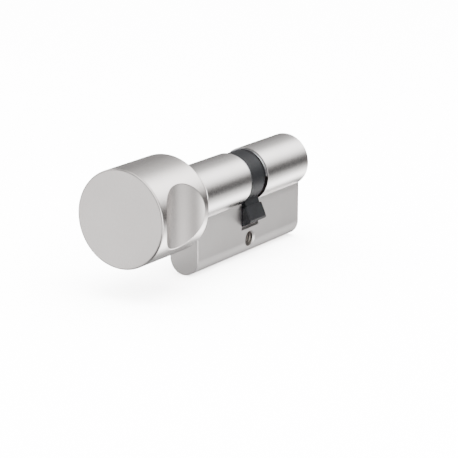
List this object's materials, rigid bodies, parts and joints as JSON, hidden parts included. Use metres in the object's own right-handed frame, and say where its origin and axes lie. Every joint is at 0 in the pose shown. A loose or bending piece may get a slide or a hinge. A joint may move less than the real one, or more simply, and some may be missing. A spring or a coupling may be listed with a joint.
{
  "type": "euro profile door cylinder with thumbturn",
  "caption": "Euro-profile door lock cylinder: keyed plug on one side, round thumbturn knob with finger scoops on the other, and a dark turning cam between them.",
  "frame": {"origin": "centre of the threaded fixing-screw hole in the web, midway between the two ends of the body", "axes": "+X along the rotor axis towards the key side (the knob is at -X), +Y along the fixing-screw hole, +Z from the foot of the web up to the rotor axis"},
  "size_m": [0.0935, 0.0296, 0.0393],
  "materials": {
    "nickel_body": "fine bead-blasted satin nickel plate on brass",
    "nickel_knob": "fine bead-blasted satin nickel plate on brass",
    "nickel_spindle": "satin nickel plate on turned brass",
    "brass_plug": "turned brass, nickel plated on the key face",
    "cam_sintered": "matte charcoal sintered steel",
    "spring_steel": "bright stamped spring steel",
    "steel_screw": "black oxide",
    "steel_coupler": "ground steel",
    "spring_wire": "drawn stainless wire",
    "brass_pins": "turned brass",
    "driver_pins": "turned nickel silver",
    "brass_discs": "pressed brass",
    "guard_steel": "hardened ground steel"
  },
  "bodies": {
    "housing": {"housing": "nickel_body", "chamber_plugs": "brass_discs", "housing_guard_pins": "guard_steel", "pin_spring_1": "spring_wire", "pin_spring_2": "spring_wire", "pin_spring_3": "spring_wire", "pin_spring_4": "spring_wire", "pin_spring_5": "spring_wire", "pin_spring_6": "spring_wire"},
    "knob_and_cam": {"spindle": "nickel_spindle", "knob": "nickel_knob", "grub_screw": "steel_screw", "cam": "cam_sintered", "circlip_knob_side": "spring_steel", "coupler_spring": "spring_wire"},
    "plug": {"plug": "brass_plug", "circlip_key_side": "spring_steel", "plug_guard_pins": "guard_steel"},
    "coupler": {"coupler": "steel_coupler"},
    "key_pin_1": {"key_pin_1": "brass_pins"},
    "driver_pin_1": {"driver_pin_1": "driver_pins"},
    "key_pin_2": {"key_pin_2": "brass_pins"},
    "driver_pin_2": {"driver_pin_2": "driver_pins"},
    "key_pin_3": {"key_pin_3": "brass_pins"},
    "driver_pin_3": {"driver_pin_3": "driver_pins"},
    "key_pin_4": {"key_pin_4": "brass_pins"},
    "driver_pin_4": {"driver_pin_4": "driver_pins"},
    "key_pin_5": {"key_pin_5": "brass_pins"},
    "driver_pin_5": {"driver_pin_5": "driver_pins"},
    "key_pin_6": {"key_pin_6": "brass_pins"},
    "driver_pin_6": {"driver_pin_6": "driver_pins"}
  },
  "joints": [
    {"name": "knob_turn", "type": "hinge", "parent": "housing", "child": "knob_and_cam", "pos_m": [0, 0, 0.0191], "axis": [1, 0, 0], "continuous": true},
    {"name": "plug_turn", "type": "hinge", "parent": "housing", "child": "plug", "pos_m": [0.015, 0, 0.0191], "axis": [1, 0, 0], "continuous": true},
    {"name": "coupler_slide", "type": "slide", "parent": "plug", "child": "coupler", "axis": [-1, 0, 0], "range_m": [0, 0.0016], "stiffness_N_per_m": 60, "springref_m": -0.0004, "deforming": ["coupler_spring"]},
    {"name": "key_pin_1_slide", "type": "slide", "parent": "plug", "child": "key_pin_1", "axis": [0, 0, 1], "range_m": [0, 0.00378]},
    {"name": "driver_pin_1_slide", "type": "slide", "parent": "housing", "child": "driver_pin_1", "axis": [0, 0, 1], "range_m": [-0.003, 0], "stiffness_N_per_m": 60, "springref_m": 0.0004, "deforming": ["pin_spring_1"]},
    {"name": "key_pin_2_slide", "type": "slide", "parent": "plug", "child": "key_pin_2", "axis": [0, 0, 1], "range_m": [0, 0.00268]},
    {"name": "driver_pin_2_slide", "type": "slide", "parent": "housing", "child": "driver_pin_2", "axis": [0, 0, 1], "range_m": [-0.003, 0], "stiffness_N_per_m": 60, "springref_m": 0.0004, "deforming": ["pin_spring_2"]},
    {"name": "key_pin_3_slide", "type": "slide", "parent": "plug", "child": "key_pin_3", "axis": [0, 0, 1], "range_m": [0, 0.00378]},
    {"name": "driver_pin_3_slide", "type": "slide", "parent": "housing", "child": "driver_pin_3", "axis": [0, 0, 1], "range_m": [-0.003, 0], "stiffness_N_per_m": 60, "springref_m": 0.0004, "deforming": ["pin_spring_3"]},
    {"name": "key_pin_4_slide", "type": "slide", "parent": "plug", "child": "key_pin_4", "axis": [0, 0, 1], "range_m": [0, 0.00218]},
    {"name": "driver_pin_4_slide", "type": "slide", "parent": "housing", "child": "driver_pin_4", "axis": [0, 0, 1], "range_m": [-0.003, 0], "stiffness_N_per_m": 60, "springref_m": 0.0004, "deforming": ["pin_spring_4"]},
    {"name": "key_pin_5_slide", "type": "slide", "parent": "plug", "child": "key_pin_5", "axis": [0, 0, 1], "range_m": [0, 0.00323]},
    {"name": "driver_pin_5_slide", "type": "slide", "parent": "housing", "child": "driver_pin_5", "axis": [0, 0, 1], "range_m": [-0.003, 0], "stiffness_N_per_m": 60, "springref_m": 0.0004, "deforming": ["pin_spring_5"]},
    {"name": "key_pin_6_slide", "type": "slide", "parent": "plug", "child": "key_pin_6", "axis": [0, 0, 1], "range_m": [0, 0.00433]},
    {"name": "driver_pin_6_slide", "type": "slide", "parent": "housing", "child": "driver_pin_6", "axis": [0, 0, 1], "range_m": [-0.003, 0], "stiffness_N_per_m": 60, "springref_m": 0.0004, "deforming": ["pin_spring_6"]}
  ]
}
